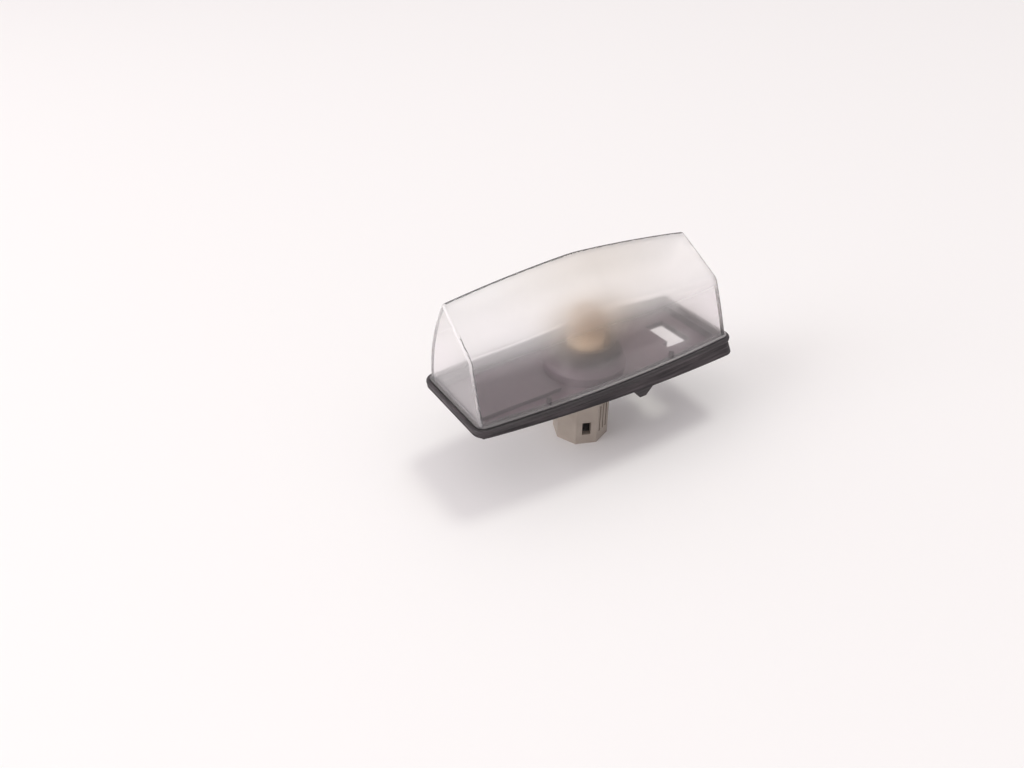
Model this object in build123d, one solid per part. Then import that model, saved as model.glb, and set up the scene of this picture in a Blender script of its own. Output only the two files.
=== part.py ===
from build123d import *
import os
from math import asin, atan, cos, degrees, sqrt, tan

# A number plate lamp that stands on the open end of its bulb holder. X runs along the lens, Y from
# its sloping front to its back and Z up. The holder's axis is the Z axis, and its open end is at
# Z = 0. Sizes are in millimetres and angles in degrees.

# Lens: a clear hood with a leaning front, a sloping roof and a ridge that peaks in the middle
LENS_LENGTH = 80.0
LENS_END_WIDTH = 25.8
SIDE_BOW = 2.1
LENS_WALL = 1.2
FOOT_HEIGHT = 25.2
SHOULDER_HEIGHT = 15.6
SHOULDER_INSET = 5.6
RIDGE_HEIGHT = 24.1
RIDGE_RISE = 3.9
CREST_RADIUS = 30.0
BACK_WALL_RADIUS = 54.0
END_WALL_RADIUS = 172.0
OUTLINE_RADIUS = 1.8
LEAST_OUTLINE_RADIUS = 0.45
SHOULDER_RADIUS = 3.0
CORNER_RADIUS = 0.9
FLANGE_OUTSET = 0.8
FLANGE_THICKNESS = 1.0

# Base housing: a tray under the lens, with a rounded rim around the lens's flange
RIM_OUTSET = 1.7
RIM_SINK = 0.35
RIM_DEPTH = 1.8
RIM_RADIUS = 0.6
SKIRT_INSET = 1.2
SKIRT_WALL = 1.3
FLOOR_DEPTH = 3.2
FLOOR_THICKNESS = 1.8
SEAT_CLEARANCE = 0.1
PLATFORM_LENGTH = 25.0
PLATFORM_WIDTH = 14.5
PLATFORM_HEIGHT = 1.2
SHROUD_RADIUS = 11.2
SHROUD_WALL = 1.3
SHROUD_SHOULDER = 2.4
SHROUD_MOUTH_RADIUS = 8.2
SHROUD_HEIGHT = 8.6
LOCATOR_SPACING = 40.0
LOCATOR_WIDTH = 0.8
LOCATOR_HEIGHT = 1.0

# The window through the housing's floor, with a narrow bay at its front left
WINDOW_LEFT = 26.8
WINDOW_LENGTH = 6.6
WINDOW_FRONT = -5.8
WINDOW_WIDTH = 12.2
BAY_LENGTH = 1.9
BAY_WIDTH = 2.3

# Snap hooks at the front and back
HOOK_X = 14.8
HOOK_INSIDE_Y = 7.6
HOOK_WIDTH = 7.6
HOOK_THICKNESS = 1.6
HOOK_LENGTH = 9.2
HOOK_TIP_BEVEL = 2.7
HOOK_TIP_RISE = 3.1
CATCH_DROP = 1.8
CATCH_HEIGHT = 2.5
CATCH_REACH = 1.3

# Panel gasket: a wedge of rubber under the rim, deepest at the right end
GASKET_TOP_OUTSET = 1.35
GASKET_LIP_OUTSET = 2.6
GASKET_LEFT_HEIGHT = 0.5
GASKET_RIGHT_HEIGHT = 3.55

# Bulb holder: an octagonal connector below a flange, and a round neck with two bayonet lugs above
HOLDER_TURN = -22.5
SOCKET_SIDES = 8
SOCKET_FLATS = 14.6
SOCKET_EDGE_RADIUS = 0.5
CONNECTOR_WALL = 1.7
CONNECTOR_DEPTH = 10.0
POCKET_FLOOR = 11.8
LATCH_LENGTH = 2.5
LATCH_HEIGHT = 4.1
LATCH_BOTTOM = 3.1
GRIP_GROOVES = 3
GRIP_FACE_ANGLE = -45.0
GRIP_PITCH = 1.6
GRIP_WIDTH = 0.7
GRIP_DEPTH = 0.45
HOLDER_FLANGE_RADIUS = 9.6
HOLDER_FLANGE_THICKNESS = 1.6
NECK_RADIUS = 7.4
NECK_RISE = 1.9
BORE_CLEARANCE = 0.1
COLLAR_RADIUS = 11.0
COLLAR_DROP = 1.4
SEAL_THICKNESS = 1.2
SEAL_WIDTH = 1.8
LUG_REACH = 2.0
LUG_ANGLE = 36.0
LUG_THICKNESS = 1.5
LUG_CLEARANCE = 0.2
RELEASE_TURN = 45.0
STOP_ANGLE = 8.0

# Contacts: two strips that end as the connector's pins below and as leaves beside the bulb above
CONTACT_SPACING = 5.2
CONTACT_WIDTH = 2.0
CONTACT_THICKNESS = 0.5
CONTACT_CLEARANCE = 0.1
PIN_SINK = 3.0
LEAF_HEIGHT = 5.9

# Bulb: a glass capsule on a flat wedge, two wires and a filament
BULB_RADIUS = 5.0
BULB_LENGTH = 26.8
BULB_WALL = 0.7
BULB_SEAT = 1.6
BULB_FOOT_RADIUS = 1.25
WEDGE_WIDTH = 9.5
WEDGE_THICKNESS = 2.4
WEDGE_HEIGHT = 6.8
WEDGE_OVERLAP = 2.5
WEDGE_EDGE_RADIUS = 0.6
BULB_CLEARANCE = 0.3
LEAD_RADIUS = 0.25
LEAD_CLEARANCE = 0.05
LEAD_FOLD_HEIGHT = 3.6
FILAMENT_RADIUS = 0.35
FILAMENT_HEIGHT = 16.6

# Heights and places that follow from the sizes above. The lens, housing and gasket are drawn about
# the middle of the lens's foot, and the rest about the middle of the holder's open end.
HALF_LENGTH = LENS_LENGTH / 2
MIDDLE_HALF_WIDTH = LENS_END_WIDTH / 2 + SIDE_BOW
BOW_RADIUS = HALF_LENGTH**2 / (2 * SIDE_BOW) + SIDE_BOW / 2
FRONT_LEAN = atan(SHOULDER_INSET / SHOULDER_HEIGHT)
SHOULDER_Y = SHOULDER_INSET - LENS_END_WIDTH / 2
RIDGE_Y = LENS_END_WIDTH / 2 - BACK_WALL_RADIUS + sqrt(BACK_WALL_RADIUS**2 - RIDGE_HEIGHT**2)
ROOF_SLOPE = (RIDGE_HEIGHT - SHOULDER_HEIGHT) / (RIDGE_Y - SHOULDER_Y)
RIDGE_HALF_LENGTH = HALF_LENGTH - END_WALL_RADIUS + sqrt(END_WALL_RADIUS**2 - RIDGE_HEIGHT**2)
LENS_REACH = RIDGE_HEIGHT + 2 * RIDGE_RISE
FLOOR_BOTTOM = -FLOOR_DEPTH - FLOOR_THICKNESS
COLLAR_BOTTOM = FOOT_HEIGHT + FLOOR_BOTTOM - COLLAR_DROP
HOLDER_FLANGE_TOP = COLLAR_BOTTOM - SEAL_THICKNESS
NECK_TOP = FOOT_HEIGHT - FLOOR_DEPTH + NECK_RISE
BORE_RADIUS = NECK_RADIUS + BORE_CLEARANCE
LUG_RADIUS = NECK_RADIUS + LUG_REACH
WEDGE_BOTTOM = POCKET_FLOOR + BULB_SEAT
WEDGE_TOP = WEDGE_BOTTOM + WEDGE_HEIGHT
LEAD_Y = WEDGE_THICKNESS / 2 + LEAD_RADIUS + LEAD_CLEARANCE
LEAF_Y = LEAD_Y + LEAD_RADIUS + CONTACT_CLEARANCE + CONTACT_THICKNESS / 2
CONTACT_X = CONTACT_SPACING / 2
TRAY_LEFT = SKIRT_INSET + SKIRT_WALL - HALF_LENGTH
PLATFORM_TOP = PLATFORM_HEIGHT - FLOOR_DEPTH
GASKET_TOP = -RIM_DEPTH
FOOT = Pos(0, 0, FOOT_HEIGHT)
TURN = Rot(0, 0, HOLDER_TURN)


def block(x, y, z):
    """A box between pairs of limits along X, Y and Z."""
    size = [high - low for low, high in (x, y, z)]
    return Pos(x[0], y[0], z[0]) * Box(*size, align=(Align.MIN, Align.MIN, Align.MIN))


def disc(radius, low, high):
    """An upright cylinder on the Z axis, between two heights."""
    return Pos(0, 0, low) * Cylinder(radius, high - low, align=(Align.CENTER, Align.CENTER, Align.MIN))


def ring_sector(inner, outer, low, high, middle_angle, width_angle):
    """A stretch of an upright ring about the Z axis."""
    middle = Pos((inner + outer) / 2, (low + high) / 2)
    section = Plane.XZ * (middle * Rectangle(outer - inner, high - low))
    start = middle_angle - width_angle / 2
    return Rot(0, 0, start) * revolve(section, Axis.Z, revolution_arc=width_angle)


def plan(outset):
    """The lamp's outline from above, grown by outset: bowed long sides, straight ends, round corners."""
    half_length = HALF_LENGTH + outset
    half_width = LENS_END_WIDTH / 2 + outset
    bowed = half_width + SIDE_BOW
    front = ThreePointArc((-half_length, -half_width), (0, -bowed), (half_length, -half_width))
    back = ThreePointArc((half_length, half_width), (0, bowed), (-half_length, half_width))
    outline = make_face([front, Line(front @ 1, back @ 0), back, Line(back @ 1, front @ 0)])
    return fillet(outline.vertices(), max(OUTLINE_RADIUS + outset, LEAST_OUTLINE_RADIUS))


def slab(outset, low, high):
    """A plate of the lamp's outline between two heights."""
    return Pos(0, 0, low) * extrude(plan(outset), high - low)


def lens_form(inset):
    """The lens as a solid hood, or with an inset the hollow inside its wall."""
    on_base = (Align.CENTER, Align.CENTER, Align.MIN)
    front_radius = BOW_RADIUS - inset / cos(FRONT_LEAN)
    front_top = front_radius - LENS_REACH * tan(FRONT_LEAN)
    front = Cone(front_radius, front_top, LENS_REACH, align=on_base)
    front = Pos(0, BOW_RADIUS - MIDDLE_HALF_WIDTH) * front

    wall_radius = BACK_WALL_RADIUS - inset
    wall_angle = degrees(asin(LENS_REACH / wall_radius))
    wall = CenterArc((BOW_RADIUS - BACK_WALL_RADIUS, 0), wall_radius, 0, wall_angle)
    closing = Polyline(wall @ 1, (0, LENS_REACH), (0, 0), wall @ 0)
    back = revolve(Plane.XZ * make_face([wall, closing]), Axis.Z)
    back = Pos(0, MIDDLE_HALF_WIDTH - BOW_RADIUS) * back

    pitch = atan(ROOF_SLOPE)
    peak = SHOULDER_HEIGHT - ROOF_SLOPE * SHOULDER_Y + RIDGE_RISE - inset / cos(pitch)
    eave = peak - RIDGE_RISE * LENS_LENGTH / RIDGE_HALF_LENGTH
    crest = FilletPolyline((-LENS_LENGTH, eave), (0, peak), (LENS_LENGTH, eave), radius=CREST_RADIUS)
    skirt = Polyline(crest @ 1, (LENS_LENGTH, -LENS_LENGTH), (-LENS_LENGTH, -LENS_LENGTH), crest @ 0)
    uphill = Vector(0, cos(pitch), ROOF_SLOPE * cos(pitch))
    gable = Pos(*(uphill * -LENS_LENGTH)) * (Plane.XZ * make_face([crest, skirt]))
    roof = extrude(gable, 2 * LENS_LENGTH, dir=uphill)

    end_radius = END_WALL_RADIUS - inset
    end_angle = degrees(asin(LENS_REACH / end_radius))
    right = CenterArc((HALF_LENGTH - END_WALL_RADIUS, 0), end_radius, 0, end_angle)
    left = CenterArc((END_WALL_RADIUS - HALF_LENGTH, 0), end_radius, 180, -end_angle)
    elevation = make_face([right, Line(right @ 1, left @ 1), left, Line(left @ 0, right @ 0)])
    ends = extrude(Plane.XZ * elevation, LENS_LENGTH, both=True)
    return front & back & roof & ends


def lens_edges(form):
    """The lens form's hard edges by name: front and back corners, roof ends, shoulder and ridge."""
    groups = {"front_corner": [], "back_corner": [], "roof_end": [], "shoulder": [], "ridge": []}
    for edge in form.edges():
        middle = edge.center()
        box = edge.bounding_box()
        lengthwise = box.size.X > max(box.size.Y, box.size.Z)
        at_end = abs(middle.X) > RIDGE_HALF_LENGTH - LENS_WALL
        side = "front" if middle.Y < 0 else "back"
        if box.max.Z < FLANGE_THICKNESS:
            continue
        if at_end and box.min.Z < FLANGE_THICKNESS:
            groups[side + "_corner"].append(edge)
        elif at_end and not lengthwise:
            groups["roof_end"].append(edge)
        elif lengthwise:
            groups["shoulder" if side == "front" else "ridge"].append(edge)
    return groups


def rounded_lens_form():
    """The lens form with its shoulder, corners, roof ends and ridge rounded."""
    form = lens_form(0)
    form = fillet(lens_edges(form)["shoulder"], SHOULDER_RADIUS)
    edges = lens_edges(form)
    del edges["shoulder"]
    return fillet(sum(edges.values(), []), CORNER_RADIUS)


def make_lens():
    """The clear hood with its foot flange."""
    hollow = lens_form(LENS_WALL)
    hollow = fillet(lens_edges(hollow)["shoulder"], SHOULDER_RADIUS - LENS_WALL)
    mouth = extrude(hollow.faces().sort_by(Axis.Z)[0], FLANGE_THICKNESS)
    flange = slab(FLANGE_OUTSET, -FLANGE_THICKNESS, 0)
    return FOOT * (rounded_lens_form() + flange - hollow - mouth)


def make_snap_hook():
    """The front hook: a flat tab with a bevelled tip and a catch on its outer face."""
    half = HOOK_WIDTH / 2
    right = [(half, 0), (half, HOOK_TIP_RISE - HOOK_LENGTH), (half - HOOK_TIP_BEVEL, -HOOK_LENGTH)]
    left = [(-x, z) for x, z in reversed(right)]
    tab = extrude(Plane.XZ * make_face(Polyline(*right, *left, close=True)), HOOK_THICKNESS)
    catch_top = (-HOOK_THICKNESS, -CATCH_DROP)
    catch_edge = (-HOOK_THICKNESS - CATCH_REACH, -CATCH_DROP)
    catch_foot = (-HOOK_THICKNESS, -CATCH_DROP - CATCH_HEIGHT)
    wedge = Plane.YZ * make_face(Polyline(catch_top, catch_edge, catch_foot, close=True))
    hook = tab + extrude(wedge, half, both=True)
    return Pos(HOOK_X, -HOOK_INSIDE_Y, FLOOR_BOTTOM) * hook


def make_locator(x):
    """A small rib that leans along the inside of the lens's front wall and centres the lens."""
    bow = SIDE_BOW * (1 - (x / HALF_LENGTH) ** 2)
    wall = -LENS_END_WIDTH / 2 - bow + LENS_WALL / cos(FRONT_LEAN) + SEAT_CLEARANCE
    top = wall + LOCATOR_HEIGHT * tan(FRONT_LEAN)
    front = [(wall, 0), (top, LOCATOR_HEIGHT)]
    back = [(top + LOCATOR_WIDTH, LOCATOR_HEIGHT), (wall + 2 * LOCATOR_WIDTH, -FLOOR_DEPTH)]
    outline = Polyline(*front, *back, (wall, -FLOOR_DEPTH), close=True)
    rib = extrude(Plane.YZ * make_face(outline), LOCATOR_WIDTH / 2, both=True)
    return Pos(x, 0, 0) * rib


def make_shroud():
    """The black sleeve on the floor around the lugs, which narrows to a mouth around the bulb."""
    outer = [(SHROUD_RADIUS, 0), (SHROUD_RADIUS, SHROUD_SHOULDER), (SHROUD_MOUTH_RADIUS, SHROUD_HEIGHT)]
    inner = [(radius - SHROUD_WALL, height) for radius, height in reversed(outer)]
    section = make_face(Polyline(*outer, *inner, close=True))
    return Pos(0, 0, -FLOOR_DEPTH) * revolve(Plane.XZ * section, Axis.Z)


def make_floor_window():
    """The hole through the floor, with its narrow bay at the front left."""
    through = (FLOOR_BOTTOM, -FLOOR_DEPTH)
    main_x = (WINDOW_LEFT, WINDOW_LEFT + WINDOW_LENGTH)
    main_y = (WINDOW_FRONT, WINDOW_FRONT + WINDOW_WIDTH)
    bay_x = (WINDOW_LEFT - BAY_LENGTH, WINDOW_LEFT)
    bay_y = (WINDOW_FRONT, WINDOW_FRONT + BAY_WIDTH)
    return block(main_x, main_y, through) + block(bay_x, bay_y, through)


def make_base_housing():
    """The moulded base: rim, tray, bore with bayonet slots, shroud, window and hooks."""
    rim = slab(RIM_OUTSET, -RIM_DEPTH, -RIM_SINK)
    edges = rim.edges().group_by(Axis.Z)
    rim = fillet(edges[0] + edges[-1], RIM_RADIUS)
    tray = slab(-SKIRT_INSET, FLOOR_BOTTOM, -FLANGE_THICKNESS)
    hollow = slab(-SKIRT_INSET - SKIRT_WALL, -FLOOR_DEPTH, 0)
    seat = slab(FLANGE_OUTSET + SEAT_CLEARANCE, -FLANGE_THICKNESS, 0)
    base = rim + tray - hollow - seat

    across = (-PLATFORM_WIDTH / 2, PLATFORM_WIDTH / 2)
    base += block((TRAY_LEFT, TRAY_LEFT + PLATFORM_LENGTH), across, (-FLOOR_DEPTH, PLATFORM_TOP))
    base += disc(COLLAR_RADIUS, FLOOR_BOTTOM - COLLAR_DROP, FLOOR_BOTTOM) + make_shroud()
    base -= disc(BORE_RADIUS, FLOOR_BOTTOM - COLLAR_DROP, -FLOOR_DEPTH)
    base -= make_floor_window()
    hook = make_snap_hook()
    base += hook + mirror(hook, about=Plane.XZ)
    for side in (-1, 1):
        base += make_locator(side * LOCATOR_SPACING / 2)
        base -= make_bayonet_slot(lug_angle(side) - RELEASE_TURN)
        base += make_bayonet_stop(lug_angle(side) + LUG_ANGLE / 2 + STOP_ANGLE)
    return FOOT * base


def lug_angle(side):
    """The angle of one of the holder's two lugs, with the holder locked."""
    return HOLDER_TURN + (0 if side > 0 else 180)


def make_bayonet_slot(angle):
    """The notch in the bore that lets a lug through when the holder is turned to release it."""
    outer = LUG_RADIUS + LUG_CLEARANCE
    return ring_sector(NECK_RADIUS, outer, FLOOR_BOTTOM, -FLOOR_DEPTH, angle, LUG_ANGLE + STOP_ANGLE)


def make_bayonet_stop(angle):
    """The post that a lug meets when the holder is locked."""
    top = LUG_CLEARANCE + LUG_THICKNESS - FLOOR_DEPTH
    return ring_sector(BORE_RADIUS, LUG_RADIUS, -FLOOR_DEPTH, top, angle, STOP_ANGLE)


def make_panel_gasket():
    """The rubber ring under the rim, with a flared lip and a slanting lower face."""
    low = GASKET_TOP - GASKET_RIGHT_HEIGHT
    upper = Pos(0, 0, GASKET_TOP) * plan(GASKET_TOP_OUTSET)
    lower = Pos(0, 0, low) * plan(GASKET_LIP_OUTSET)
    ring = loft([lower, upper], ruled=True) - slab(SEAT_CLEARANCE - SKIRT_INSET, low, GASKET_TOP)
    left, right = -HALF_LENGTH - GASKET_LIP_OUTSET, HALF_LENGTH + GASKET_LIP_OUTSET
    cut = Polyline((left, low), (right, low), (left, GASKET_TOP - GASKET_LEFT_HEIGHT), close=True)
    return FOOT * (ring - extrude(Plane.XZ * make_face(cut), LENS_LENGTH, both=True))


def octagon(flats, low, high):
    """An upright octagonal prism with flats facing along X and Y."""
    turn = 180 / SOCKET_SIDES
    shape = RegularPolygon(flats / 2, SOCKET_SIDES, major_radius=False, rotation=turn)
    return Pos(0, 0, low) * extrude(shape, high - low)


def make_grip_grooves():
    """The cutters of the upright grooves in the face next to the latch window."""
    low_x = SOCKET_FLATS / 2 - GRIP_DEPTH
    grooves = []
    for number in range(GRIP_GROOVES):
        y = (number - (GRIP_GROOVES - 1) / 2) * GRIP_PITCH
        across = (y - GRIP_WIDTH / 2, y + GRIP_WIDTH / 2)
        groove = block((low_x, SOCKET_FLATS), across, (LATCH_BOTTOM, POCKET_FLOOR))
        grooves.append(Rot(0, 0, GRIP_FACE_ANGLE) * groove)
    return grooves


def make_bulb_socket():
    """The holder: connector shell, flange, neck and lugs, hollowed for the plug, contacts and bulb."""
    shell = octagon(SOCKET_FLATS, 0, HOLDER_FLANGE_TOP)
    shell = fillet(shell.edges().filter_by(Axis.Z), SOCKET_EDGE_RADIUS)
    flange_low = HOLDER_FLANGE_TOP - HOLDER_FLANGE_THICKNESS
    holder = shell + disc(HOLDER_FLANGE_RADIUS, flange_low, HOLDER_FLANGE_TOP)
    holder += disc(NECK_RADIUS, HOLDER_FLANGE_TOP, NECK_TOP)
    lug_root = NECK_RADIUS - LUG_CLEARANCE
    lug_low = FOOT_HEIGHT - FLOOR_DEPTH + LUG_CLEARANCE
    lug_high = lug_low + LUG_THICKNESS
    for angle in (0, 180):
        holder += ring_sector(lug_root, LUG_RADIUS, lug_low, lug_high, angle, LUG_ANGLE)
    holder -= octagon(SOCKET_FLATS - 2 * CONNECTOR_WALL, 0, CONNECTOR_DEPTH)
    half_latch = LATCH_LENGTH / 2
    latch_z = (LATCH_BOTTOM, LATCH_BOTTOM + LATCH_HEIGHT)
    holder -= block((-half_latch, half_latch), (-SOCKET_FLATS, 0), latch_z)
    for groove in make_grip_grooves():
        holder -= groove
    holder -= disc(BULB_RADIUS + BULB_CLEARANCE, WEDGE_TOP - BULB_CLEARANCE, NECK_TOP)
    half_width = WEDGE_WIDTH / 2 + BULB_CLEARANCE
    half_depth = LEAF_Y + CONTACT_THICKNESS / 2 + CONTACT_CLEARANCE
    holder -= block((-half_width, half_width), (-half_depth, half_depth), (POCKET_FLOOR, NECK_TOP))
    for x in (-CONTACT_X, CONTACT_X):
        holder -= make_contact_slot(x)
    return TURN * holder


def make_contact_slot(x):
    """The slit through the holder's partition that a contact is pushed into."""
    half_width = CONTACT_WIDTH / 2 + LEAD_CLEARANCE
    half_depth = CONTACT_THICKNESS / 2 + LEAD_CLEARANCE
    along = (x - half_width, x + half_width)
    return block(along, (LEAF_Y - half_depth, LEAF_Y + half_depth), (CONNECTOR_DEPTH, POCKET_FLOOR))


def make_socket_seal():
    """The rubber ring around the neck, between the holder's flange and the base's collar."""
    high = COLLAR_BOTTOM - BORE_CLEARANCE
    inner = disc(BORE_RADIUS, HOLDER_FLANGE_TOP, high)
    return disc(BORE_RADIUS + SEAL_WIDTH, HOLDER_FLANGE_TOP, high) - inner


def make_contact(x, leaf_side):
    """A strip from its pin, behind the bulb's middle, to its leaf in front (-1) or behind (1)."""
    step = POCKET_FLOOR + CONTACT_THICKNESS / 2
    leaf_y = leaf_side * LEAF_Y
    top = (leaf_y, POCKET_FLOOR + LEAF_HEIGHT)
    points = [(LEAF_Y, PIN_SINK), top]
    if leaf_side < 0:
        points = [(LEAF_Y, PIN_SINK), (LEAF_Y, step), (leaf_y, step), top]
    section = Plane.YZ * trace(Polyline(*points), CONTACT_THICKNESS)
    return TURN * Pos(x, 0, 0) * extrude(section, CONTACT_WIDTH / 2, both=True)


def capsule(radius, low, top):
    """A round-topped upright cylinder with a rounded foot, between two heights."""
    dome = CenterArc((0, top - radius), radius, 0, 90)
    foot_middle = (radius - BULB_FOOT_RADIUS, low + BULB_FOOT_RADIUS)
    foot = CenterArc(foot_middle, BULB_FOOT_RADIUS, -90, 90)
    side = Line(foot @ 1, dome @ 0)
    closing = Polyline(dome @ 1, (0, low), foot @ 0)
    return revolve(Plane.XZ * make_face([dome, foot, side, closing]), Axis.Z)


def make_bulb_glass():
    """The bulb's capsule on its flat wedge, hollow and with a bore for each wire."""
    top = WEDGE_BOTTOM + BULB_LENGTH
    half_width, half_depth = WEDGE_WIDTH / 2, WEDGE_THICKNESS / 2
    wedge_top = WEDGE_TOP + WEDGE_OVERLAP
    wedge = block((-half_width, half_width), (-half_depth, half_depth), (WEDGE_BOTTOM, wedge_top))
    wedge = fillet(wedge.edges().filter_by(Axis.Z), WEDGE_EDGE_RADIUS)
    hollow_low = wedge_top - BULB_WALL
    glass = wedge + capsule(BULB_RADIUS, WEDGE_TOP, top)
    glass -= capsule(BULB_RADIUS - BULB_WALL, hollow_low, top - BULB_WALL)
    for x in (-CONTACT_X, CONTACT_X):
        bore = disc(LEAD_RADIUS + LEAD_CLEARANCE, WEDGE_BOTTOM, hollow_low + BULB_FOOT_RADIUS)
        glass -= Pos(x, 0, 0) * bore
    return TURN * glass


def make_bulb_lead(x, side):
    """A wire from the filament down through the wedge, folded up its front (-1) or back (1) face."""
    fold = WEDGE_BOTTOM - LEAD_RADIUS - 2 * LEAD_CLEARANCE
    top = WEDGE_BOTTOM + FILAMENT_HEIGHT
    y = side * LEAD_Y
    route = [(x, 0, top), (x, 0, fold), (x, y, fold), (x, y, fold + LEAD_FOLD_HEIGHT)]
    path = FilletPolyline(*route, radius=2 * LEAD_RADIUS)
    section = Plane(origin=path @ 0, z_dir=path % 0) * Circle(LEAD_RADIUS)
    return TURN * sweep(section, path)


def make_bulb_filament():
    """The coil between the two wires, as the cylinder that its turns fill."""
    length = CONTACT_SPACING - 2 * LEAD_RADIUS - 2 * LEAD_CLEARANCE
    height = WEDGE_BOTTOM + FILAMENT_HEIGHT - FILAMENT_RADIUS
    return TURN * Pos(0, 0, height) * Rot(0, 90, 0) * Cylinder(FILAMENT_RADIUS, length)


def main():
    """Make every sub-part and write each to its own file."""
    parts = {
        "lens": make_lens(),
        "base_housing": make_base_housing(),
        "panel_gasket": make_panel_gasket(),
        "bulb_socket": make_bulb_socket(),
        "socket_seal": make_socket_seal(),
        "contact_left": make_contact(-CONTACT_X, -1),
        "contact_right": make_contact(CONTACT_X, 1),
        "bulb_glass": make_bulb_glass(),
        "bulb_lead_left": make_bulb_lead(-CONTACT_X, -1),
        "bulb_lead_right": make_bulb_lead(CONTACT_X, 1),
        "bulb_filament": make_bulb_filament(),
    }
    os.makedirs("parts", exist_ok=True)
    for name, shape in parts.items():
        export_step(shape, f"parts/{name}.step")


main()
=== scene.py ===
import math

import bmesh
import bpy
from mathutils import Matrix, Vector


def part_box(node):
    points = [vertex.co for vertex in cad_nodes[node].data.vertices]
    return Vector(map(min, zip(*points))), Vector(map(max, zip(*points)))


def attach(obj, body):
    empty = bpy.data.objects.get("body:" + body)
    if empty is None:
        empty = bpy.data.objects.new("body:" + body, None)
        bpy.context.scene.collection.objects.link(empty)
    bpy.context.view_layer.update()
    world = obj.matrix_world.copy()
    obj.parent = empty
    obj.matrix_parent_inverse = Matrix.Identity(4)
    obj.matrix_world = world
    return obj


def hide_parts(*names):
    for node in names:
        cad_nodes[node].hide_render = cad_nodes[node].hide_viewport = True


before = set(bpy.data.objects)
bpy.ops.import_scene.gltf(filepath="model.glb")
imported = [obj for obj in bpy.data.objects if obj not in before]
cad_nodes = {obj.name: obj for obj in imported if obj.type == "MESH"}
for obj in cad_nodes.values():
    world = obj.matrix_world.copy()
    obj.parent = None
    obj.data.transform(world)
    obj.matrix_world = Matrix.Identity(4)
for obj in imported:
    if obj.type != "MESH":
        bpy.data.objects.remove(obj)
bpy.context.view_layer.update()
MM = 0.001

# The camera, in the part's frame: where it stands, and its right, up and forward directions
CAMERA_PLACE = Vector((-116.97, -150.10, 148.76)) * MM
CAMERA_RIGHT = Vector((0.84645, -0.53246, -0.00309))
CAMERA_UP = Vector((0.30879, 0.48614, 0.81751))
CAMERA_FORWARD = Vector((0.43379, 0.69293, -0.57591))
SENSOR_WIDTH = 36.0
FOCAL_LENGTH = 29.23
CLIP_START = 10.0 * MM

# The light: a soft key from above, a broad fill from the left, and a sky that is brighter at the left
KEY_DIRECTION = Vector((0.30, 0.065, 1.0)).normalized()
KEY_DISTANCE = 3.0
KEY_SIZE = 0.85
KEY_POWER = 16.5
KEY_COLOUR = (0.985, 1.0, 0.945)
FILL_DIRECTION = Vector((-1.0, 0.1, 0.42)).normalized()
FILL_DISTANCE = 1.6
FILL_SIZE = 1.0
FILL_POWER = 13.0
FILL_COLOUR = (1.0, 0.97, 0.98)
SKY_STRENGTH = 0.71
SKY_LEFT = 1.35
SKY_RIGHT = 0.65
SKY_COLOUR = (1.0, 0.94, 0.97, 1.0)

# The floor that the lamp stands on
FLOOR_SIZE = 6.0
FLOOR_COLOUR = (0.925, 0.92, 0.905, 1.0)

# The lens's copy: vertices closer than this are one, and edges from this angle on shade as sharp ones
MERGE_DISTANCE = 0.001 * MM
SHARP_ANGLE = math.radians(45.0)

# How the lens's faces are told apart: its foot's height, a point inside it, and bounds on their normals
LENS_FOOT = 25.21 * MM
LENS_MIDDLE = Vector((0.0, 2.0, 33.0)) * MM
LEVEL_Z = 0.9
END_X = 0.97
LONG_WALL_X = 0.25
FRONT_WALL_Y = -0.4
BACK_WALL_Y = 0.84
BACK_CORNER_Y = 0.15
BACK_CORNER_Z = 0.69
LEFT_EDGE_X = -0.5
LEFT_RIDGE_X = -0.2
HIGHLIGHT_EDGE_Y = 0.3

# The parts of the lens: the haze of each, its added bloom at the top, its share of frost, and its tone
LENS_LOOKS = {
    "outside": (0.055, 0.42, 0.0, 1.0),
    "inside": (0.01, 0.0, 0.35, 1.0),
    # The left edges: milkier and so paler, a painted highlight
    "painted_highlight_edge": (0.25, 0.25, 0.0, 1.0),
    # The other edges: toned down to a fifth and half milky, a painted dark outline of shade
    "painted_shade_edge": (0.5, 0.0, 0.0, 0.2),
    "left_end": (0.2, 0.0, 0.0, 1.0),
    # The foot flange's top: milkier, so it shows as a bright line, a painted highlight
    "flange": (0.15, 0.0, 0.0, 1.0),
}
LENS_IOR = 1.3
LENS_CLEAR_ROUGHNESS = 0.1
LENS_FROSTED_ROUGHNESS = 0.8
LENS_SHADE = (0.92, 0.91, 0.89, 1.0)

# The lens's two tones low down and at the top, and the heights between which its bloom comes in
LENS_LOW_TONES = ((0.96, 0.94, 0.95), (0.98, 0.962, 0.97))
LENS_HIGH_TONES = ((0.97, 0.962, 0.957), (0.99, 0.985, 0.98))
BLOOM_LOW = 34.0 * MM
BLOOM_HIGH = 44.0 * MM

# The strip along the lens's foot, made hazier and so lighter as painted light: its left end, its top, and
# its haze against the rest
STRIP_LEFT = -15.0 * MM
STRIP_TOP = 31.0 * MM
STRIP_HAZE = 1.6

# The spots of the lens that the bulb has yellowed, fogged and stained, each with a near and a far distance
AGED_SPOT = Vector((6.0, 4.0, 44.0)) * MM
AGED_NEAR = 5.0 * MM
AGED_FAR = 32.0 * MM
AGED_SHARE = 0.6
AGED_TONE = (0.96, 0.925, 0.865)
FOG_SPOT = Vector((-5.0, -8.5, 42.0)) * MM
FOG_NEAR = 4.0 * MM
FOG_FAR = 14.0 * MM
STAIN_SPOT = Vector((-4.5, -9.4, 40.0)) * MM
STAIN_STRETCH = (0.7, 1.0, 1.3)
STAIN_NEAR = 1.0 * MM
STAIN_FAR = 14.5 * MM
STAIN_COLOUR = (0.76, 0.68, 0.59, 1.0)
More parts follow.
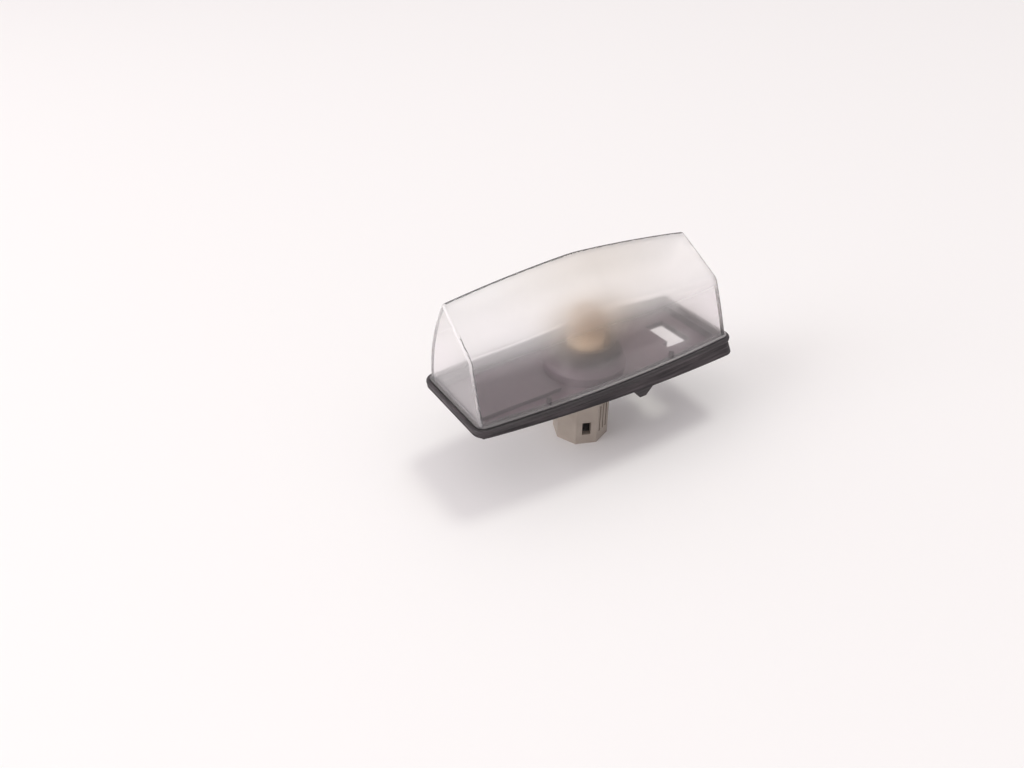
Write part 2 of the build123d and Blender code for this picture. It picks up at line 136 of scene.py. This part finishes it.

# Dust on the tray's floor and grey on the bulb's sleeve: the heights between which each thins out
TRAY_FLOOR = 22.0 * MM
TRAY_TOP = 24.2 * MM
SLEEVE_RADIUS = 11.5 * MM
SLEEVE_GREY_LOW = 25.5 * MM
SLEEVE_GREY_TOP = 28.0 * MM
DUST_SLOPE_Z = 0.6
DUST_LEVEL_Z = 0.95

# Streaks along the rim and the gasket are noise drawn out in X
STREAK_STRETCH = (0.08, 0.3, 1.6)

# The heights between which heat has browned the holder, and where the bulb's near-white foot, a painted
# highlight, turns into its tan glass
HEAT_LOW = 16.5 * MM
HEAT_HIGH = 24.5 * MM
HEAT_SHARE = 0.75
BULB_HIGHLIGHT_TOP = 31.5 * MM
BULB_TAN = 35.0 * MM
BULB_SHADE = (0.8, 0.7, 0.5, 1.0)

# The dull and the bright tone of each metal
BRASS = ((0.5, 0.38, 0.18, 1.0), (0.72, 0.58, 0.32, 1.0))
STEEL = ((0.36, 0.34, 0.32, 1.0), (0.55, 0.53, 0.5, 1.0))
TUNGSTEN = ((0.2, 0.19, 0.18, 1.0), (0.34, 0.32, 0.3, 1.0))

# The bulb's coil, along the holder's turned X axis
HOLDER_TURN = math.radians(-22.5)
COIL_TURNS = 9
COIL_POINTS = 12
COIL_LENGTH = 4.5 * MM
COIL_RADIUS = 0.28 * MM
COIL_WIRE = 0.06 * MM

UNSTRETCHED = (1.0, 1.0, 1.0)


class Nodes:
    """A short way to write the node tree of a material or of the world."""

    def __init__(self, owner, output):
        owner.use_nodes = True
        self.owner = owner
        self.tree = owner.node_tree
        self.tree.nodes.clear()
        self.output = self.add(output)

    def add(self, kind, inputs=None, **settings):
        node = self.tree.nodes.new("ShaderNode" + kind)
        for key, value in settings.items():
            setattr(node, key, value)
        for key, value in (inputs or {}).items():
            self.put(node.inputs[key], value)
        return node

    def put(self, socket, value):
        if isinstance(value, bpy.types.NodeSocket):
            self.tree.links.new(value, socket)
        elif isinstance(value, bpy.types.Node):
            self.tree.links.new(value.outputs[0], socket)
        else:
            socket.default_value = value

    def place(self, stretch=UNSTRETCHED):
        """The point on the piece, in the part's frame, stretched along the axes."""
        point = self.add("TexCoord").outputs["Object"]
        if stretch == UNSTRETCHED:
            return point
        return self.add("Mapping", {"Vector": point, "Scale": stretch}).outputs[0]

    def axis(self, vector, name):
        """A vector's X, Y or Z."""
        return self.add("SeparateXYZ", {"Vector": vector}).outputs[name]

    def distance(self, point, stretch=UNSTRETCHED):
        """The distance from a point of the part's frame, with the frame stretched along its axes."""
        spot = Vector(value * share for value, share in zip(point, stretch))
        node = self.add("VectorMath", {0: self.place(stretch), 1: spot}, operation="DISTANCE")
        return node.outputs["Value"]

    def math(self, operation, first, second=0.0, third=0.0):
        node = self.add("Math", operation=operation)
        for socket, value in zip(node.inputs, (first, second, third)):
            self.put(socket, value)
        return node.outputs[0]

    def remap(self, value, low, high, new_low, new_high):
        inputs = {"Value": value, "From Min": low, "From Max": high, "To Min": new_low, "To Max": new_high}
        return self.add("MapRange", inputs).outputs[0]

    def between(self, share, low, high):
        """A value that goes from low to high as a share goes from 0 to 1."""
        return self.remap(share, 0.0, 1.0, low, high)

    def smooth_step(self, value, low, high):
        """A share that goes softly from 0 to 1 as a value goes from low to high."""
        inputs = {"Value": value, "From Min": low, "From Max": high}
        return self.add("MapRange", inputs, interpolation_type="SMOOTHSTEP").outputs[0]

    def noise(self, scale, detail=3.0, roughness=0.55, stretch=UNSTRETCHED):
        inputs = {"Vector": self.place(stretch), "Scale": scale, "Detail": detail, "Roughness": roughness}
        return self.add("TexNoise", inputs).outputs[0]

    def patches(self, scale, detail, low=0.3, high=0.7, **settings):
        """A share that wanders from 0 to 1 over the piece: noise, cut off below low and above high."""
        return self.remap(self.noise(scale, detail, **settings), low, high, 0.0, 1.0)

    def mix(self, share, first, second):
        """A colour between two others."""
        node = self.add("Mix", data_type="RGBA")
        self.put(node.inputs[0], share)
        self.put(node.inputs[6], first)
        self.put(node.inputs[7], second)
        return node.outputs[2]

    def bump(self, height, strength, distance):
        inputs = {"Height": height, "Strength": strength, "Distance": distance}
        return self.add("Bump", inputs).outputs[0]

    def see_through(self, shader, shade):
        """A shader that lets light through on its way to a lamp, so that the shadow is only a tint."""
        through = self.add("BsdfTransparent", {"Color": shade})
        to_lamp = self.add("LightPath").outputs["Is Shadow Ray"]
        return self.add("MixShader", {0: to_lamp, 1: shader, 2: through})

    def finish(self, shader):
        self.put(self.output.inputs["Surface"], shader)
        return self.owner


def material_nodes(name):
    """The empty node tree of a new material."""
    return Nodes(bpy.data.materials.new(name), "OutputMaterial")


def rgb(red, green, blue):
    """An sRGB colour of 0 to 255 as a linear colour with full alpha."""
    values = []
    for value in (red, green, blue):
        share = value / 255
        values.append(share / 12.92 if share <= 0.04045 else ((share + 0.055) / 1.055) ** 2.4)
    return (*values, 1.0)


def toned(colour, tone):
    """A colour made darker by a tone below 1, with full alpha."""
    return (*(value * tone for value in colour), 1.0)


def lens_plastic(name, haze, bloom, frost, tone):
    """Clear plastic, yellowed a little by the bulb: hazy, bloomed towards its top, finely frosted, and
    hazier along its foot's strip as painted light.
    """
    n = material_nodes(name)
    place = n.place()
    height = n.axis(place, "Z")
    rise = n.smooth_step(height, BLOOM_LOW, BLOOM_HIGH)

    cloud = n.patches(90.0, 3.0)
    low = n.mix(cloud, *(toned(colour, tone) for colour in LENS_LOW_TONES))
    high = n.mix(cloud, *(toned(colour, tone) for colour in LENS_HIGH_TONES))
    aged = n.remap(n.distance(AGED_SPOT), AGED_NEAR, AGED_FAR, AGED_SHARE, 0.0)
    yellowed = n.mix(aged, n.mix(rise, low, high), toned(AGED_TONE, tone))
    stain = n.smooth_step(n.distance(STAIN_SPOT, STAIN_STRETCH), STAIN_FAR, STAIN_NEAR)

    roughness = LENS_CLEAR_ROUGHNESS
    if frost:
        speck = n.add("TexWhiteNoise", {"Vector": place}).outputs["Value"]
        fog = n.remap(n.distance(FOG_SPOT), FOG_NEAR, FOG_FAR, 1.0, frost)
        frosted = n.math("LESS_THAN", speck, fog)
        roughness = n.between(frosted, LENS_CLEAR_ROUGHNESS, LENS_FROSTED_ROUGHNESS)

    # Painted light: the foot's strip right of its left end is made hazier and so lighter
    right_of_end = n.math("GREATER_THAN", n.axis(place, "X"), STRIP_LEFT)
    in_painted_light_strip = n.math("MULTIPLY", right_of_end, n.math("LESS_THAN", height, STRIP_TOP))
    milky = n.math("MULTIPLY_ADD", rise, bloom, n.between(in_painted_light_strip, haze, haze * STRIP_HAZE))

    shader = n.add("BsdfPrincipled", {
        "Base Color": n.mix(stain, yellowed, STAIN_COLOUR),
        "Roughness": roughness,
        "IOR": LENS_IOR,
        "Transmission Weight": n.math("SUBTRACT", 1.0, milky),
    })
    return n.finish(n.see_through(shader, LENS_SHADE))


def black_plastic(name):
    """Black moulded plastic with a fine grain, dusty grey on the tray's floor and the same grey on the
    sleeve's foot below its black top.
    """
    n = material_nodes(name)
    cloud = n.patches(90.0, 4.0, low=0.35)
    streak = n.patches(700.0, 5.0, 0.45, 0.72, roughness=0.65, stretch=STREAK_STRETCH)
    plain = n.mix(streak, n.mix(cloud, rgb(27, 22, 24), rgb(37, 31, 33)), rgb(70, 62, 65))

    height = n.axis(n.place(), "Z")
    upward = n.axis(n.add("NewGeometry").outputs["Normal"], "Z")
    level = n.remap(upward, DUST_SLOPE_Z, DUST_LEVEL_Z, 0.0, 1.0)
    on_floor = n.math("MULTIPLY", level, n.remap(height, TRAY_FLOOR, TRAY_TOP, 1.0, 0.0))
    near_axis = n.math("LESS_THAN", n.distance((0.0, 0.0, 0.0), (1.0, 1.0, 0.0)), SLEEVE_RADIUS)
    in_sleeve = n.math("MULTIPLY", near_axis, n.math("GREATER_THAN", height, TRAY_FLOOR))
    # The sleeve is grey up to below its top, which stays black
    low_down = n.remap(height, SLEEVE_GREY_LOW, SLEEVE_GREY_TOP, 1.0, 0.0)
    sleeve_grey = n.math("MULTIPLY", in_sleeve, low_down)
    dust_and_sleeve_grey = n.math("MULTIPLY", n.math("MAXIMUM", on_floor, sleeve_grey), n.between(cloud, 0.65, 1.0))

    return n.finish(n.add("BsdfPrincipled", {
        "Base Color": n.mix(dust_and_sleeve_grey, plain, rgb(84, 66, 75)),
        "Roughness": n.between(cloud, 0.42, 0.58),
        "Normal": n.bump(n.noise(1800.0, 4.0, 0.6), 0.25, 0.04 * MM),
    }))


def rubber(name):
    """Matt black rubber with a faint grey bloom drawn out along its length."""
    n = material_nodes(name)
    streak = n.patches(600.0, 5.0, 0.42, 0.72, roughness=0.65, stretch=STREAK_STRETCH)
    return n.finish(n.add("BsdfPrincipled", {
        "Base Color": n.mix(streak, rgb(26, 22, 24), rgb(84, 76, 79)),
        "Roughness": 0.72,
        "Normal": n.bump(n.noise(2400.0), 0.3, 0.05 * MM),
    }))


def grey_plastic(name):
    """Light warm grey plastic, browned by heat near the bulb."""
    n = material_nodes(name)
    cloud = n.patches(160.0, 4.0)
    plain = n.mix(cloud, rgb(150, 140, 130), rgb(164, 154, 144))
    heat = n.remap(n.axis(n.place(), "Z"), HEAT_LOW, HEAT_HIGH, 0.0, HEAT_SHARE)
    return n.finish(n.add("BsdfPrincipled", {
        "Base Color": n.mix(heat, plain, rgb(150, 128, 92)),
        "Roughness": n.between(cloud, 0.42, 0.56),
        "Normal": n.bump(n.noise(2200.0), 0.15, 0.04 * MM),
    }))


def metal(name, tones, roughness):
    """A worn metal whose colour wanders between two tones."""
    n = material_nodes(name)
    cloud = n.patches(600.0, 4.0)
    return n.finish(n.add("BsdfPrincipled", {
        "Base Color": n.mix(cloud, *tones),
        "Metallic": 1.0,
        "Roughness": n.between(cloud, roughness * 0.8, roughness * 1.3),
    }))


def bulb_glass(name):
    """Clear glass with a tan cast from use, on a near-white foot that is a painted highlight."""
    n = material_nodes(name)
    above_highlight = n.remap(n.axis(n.place(), "Z"), BULB_HIGHLIGHT_TOP, BULB_TAN, 0.0, 1.0)
    aged = n.mix(n.patches(200.0, 3.0), rgb(160, 132, 98), rgb(176, 150, 118))
    shader = n.add("BsdfPrincipled", {
        # The near-white, less clear foot is a painted highlight
        "Base Color": n.mix(above_highlight, rgb(246, 232, 212), aged),
        "Roughness": 0.12,
        "IOR": 1.5,
        "Transmission Weight": n.between(above_highlight, 0.2, 0.55),
    })
    return n.finish(n.see_through(shader, BULB_SHADE))


def add_object(name, data):
    """A new object of the scene."""
    item = bpy.data.objects.new(name, data)
    bpy.context.scene.collection.objects.link(item)
    return item


def final_mesh(item):
    """A new mesh of an object's final shape."""
    bpy.context.view_layer.update()
    seen = item.evaluated_get(bpy.context.evaluated_depsgraph_get())
    return bpy.data.meshes.new_from_object(seen)


def paint(node, material):
    """One material all over a CAD node."""
    mesh = cad_nodes[node].data
    mesh.materials.clear()
    mesh.materials.append(material)


def smooth_copy(node, name):
    """A copy of a CAD node's mesh whose flat faces shade flat and whose roundings shade smooth."""
    work = bmesh.new()
    work.from_mesh(cad_nodes[node].data)
    bmesh.ops.remove_doubles(work, verts=work.verts, dist=MERGE_DISTANCE)
    for face in work.faces:
        face.smooth = True
    for edge in work.edges:
        edge.smooth = len(edge.link_faces) == 2 and edge.calc_face_angle() < SHARP_ANGLE
    mesh = bpy.data.meshes.new(name)
    work.to_mesh(mesh)
    work.free()
    piece = add_object(name, mesh)
    weigh = piece.modifiers.new("normals", "WEIGHTED_NORMAL")
    weigh.keep_sharp = True
    piece.data = final_mesh(piece)
    piece.modifiers.clear()
    return piece


def lens_side(polygon):
    """The name of the lens's part that a polygon is on."""
    normal = polygon.normal
    if polygon.center.z < LENS_FOOT:
        # The flange's level top faces take the painted highlight
        return "flange" if normal.z > LEVEL_Z else "outside"
    if (polygon.center - LENS_MIDDLE).dot(normal) < 0:
        return "inside"
    if normal.x < -END_X:
        return "left_end"
    on_long_wall = abs(normal.x) < LONG_WALL_X and not FRONT_WALL_Y <= normal.y <= BACK_WALL_Y
    on_back_corner = normal.y > BACK_CORNER_Y and normal.z < BACK_CORNER_Z
    if on_long_wall or on_back_corner or normal.x > END_X:
        return "outside"
    # Left edges take the painted highlight, the other edges the painted dark outline of shade
    on_left = normal.x < LEFT_EDGE_X or (normal.x < LEFT_RIDGE_X and polygon.center.z > BLOOM_HIGH)
    return "painted_highlight_edge" if on_left and normal.y < HIGHLIGHT_EDGE_Y else "painted_shade_edge"


def make_lens():
    """The lens, with a bloomed outside, a frosted inside, painted highlights on its left edges and its
    flange's top, and painted dark outlines of shade on its other edges.
    """
    lens = smooth_copy("lens", "lens_hood")
    mesh = lens.data
    mesh.materials.clear()
    for side, look in LENS_LOOKS.items():
        mesh.materials.append(lens_plastic("lens_" + side, *look))
    sides = list(LENS_LOOKS)
    for polygon in mesh.polygons:
        polygon.material_index = sides.index(lens_side(polygon))
    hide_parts("lens")
    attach(lens, "lamp_body")


def make_filament():
    """The bulb's coil, wound along the cylinder that it fills."""
    low, high = (Vector(corner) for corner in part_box("bulb_filament"))
    middle = (low + high) / 2
    upward = Vector((0.0, 0.0, 1.0))
    along = Vector((math.cos(HOLDER_TURN), math.sin(HOLDER_TURN), 0.0))
    across = upward.cross(along)
    curve = bpy.data.curves.new("filament_line", "CURVE")
    curve.dimensions = "3D"
    curve.bevel_depth = COIL_WIRE
    curve.bevel_resolution = 2
    spline = curve.splines.new("POLY")
    count = COIL_TURNS * COIL_POINTS
    spline.points.add(count)
    for number, point in enumerate(spline.points):
        angle = 2 * math.pi * number / COIL_POINTS
        ring = across * math.cos(angle) + upward * math.sin(angle)
        place = middle + along * COIL_LENGTH * (number / count - 0.5) + ring * COIL_RADIUS
        point.co = (*place, 1.0)
    line = add_object("filament_line", curve)
    mesh = final_mesh(line)
    bpy.data.objects.remove(line)
    coil = add_object("filament_coil", mesh)
    mesh.materials.clear()
    mesh.materials.append(metal("filament_metal", TUNGSTEN, 0.35))
    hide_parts("bulb_filament")
    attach(coil, "bulb_holder")


def make_floor():
    """The pale floor that the lamp stands on."""
    half = FLOOR_SIZE / 2
    corners = [(-half, -half, 0), (half, -half, 0), (half, half, 0), (-half, half, 0)]
    mesh = bpy.data.meshes.new("floor")
    mesh.from_pydata(corners, [], [(0, 1, 2, 3)])
    floor = add_object("floor", mesh)
    n = material_nodes("floor")
    mesh.materials.append(n.finish(n.add("BsdfPrincipled", {
        "Base Color": FLOOR_COLOUR,
        "Roughness": 0.8,
        "Specular IOR Level": 0.2,
    })))


def make_world():
    """A pale sky, brighter at the left, and white where it is seen, mirrored or seen through the lens."""
    world = bpy.data.worlds.new("sky")
    bpy.context.scene.world = world
    n = Nodes(world, "OutputWorld")
    sideways = n.axis(n.add("TexCoord").outputs["Generated"], "X")
    lit = n.remap(sideways, -1.0, 1.0, SKY_STRENGTH * SKY_LEFT, SKY_STRENGTH * SKY_RIGHT)
    path = n.add("LightPath").outputs
    seen = n.math("MAXIMUM", path["Is Camera Ray"], path["Is Glossy Ray"])
    white = n.math("MAXIMUM", seen, path["Is Transmission Ray"])
    n.finish(n.add("Background", {"Color": SKY_COLOUR, "Strength": n.between(white, lit, 1.0)}))


def make_light(name, direction, distance, size, power, colour):
    """A round soft light that points at the lamp."""
    data = bpy.data.lights.new(name, "AREA")
    data.shape = "DISK"
    data.size = size
    data.energy = power
    data.color = colour
    light = add_object(name, data)
    light.location = direction * distance
    light.rotation_euler = (-direction).to_track_quat("-Z", "Y").to_euler()


def make_camera():
    """The camera at the photograph's angle."""
    data = bpy.data.cameras.new("camera")
    data.sensor_width = SENSOR_WIDTH
    data.lens = FOCAL_LENGTH
    data.clip_start = CLIP_START
    camera = add_object("camera", data)
    turn = Matrix((CAMERA_RIGHT, CAMERA_UP, -CAMERA_FORWARD)).transposed().to_4x4()
    camera.matrix_world = Matrix.Translation(CAMERA_PLACE) @ turn
    bpy.context.scene.camera = camera


bpy.context.scene.view_settings.view_transform = "Standard"
make_camera()
make_world()
make_light("key", KEY_DIRECTION, KEY_DISTANCE, KEY_SIZE, KEY_POWER, KEY_COLOUR)
make_light("fill", FILL_DIRECTION, FILL_DISTANCE, FILL_SIZE, FILL_POWER, FILL_COLOUR)
make_floor()

make_lens()
paint("base_housing", black_plastic("base_black"))
paint("panel_gasket", rubber("gasket_rubber"))
paint("socket_seal", rubber("seal_rubber"))
paint("bulb_socket", grey_plastic("socket_grey"))
brass = metal("contact_brass", BRASS, 0.3)
paint("contact_left", brass)
paint("contact_right", brass)
wire = metal("lead_steel", STEEL, 0.3)
paint("bulb_lead_left", wire)
paint("bulb_lead_right", wire)
make_filament()
paint("bulb_glass", bulb_glass("bulb_envelope"))
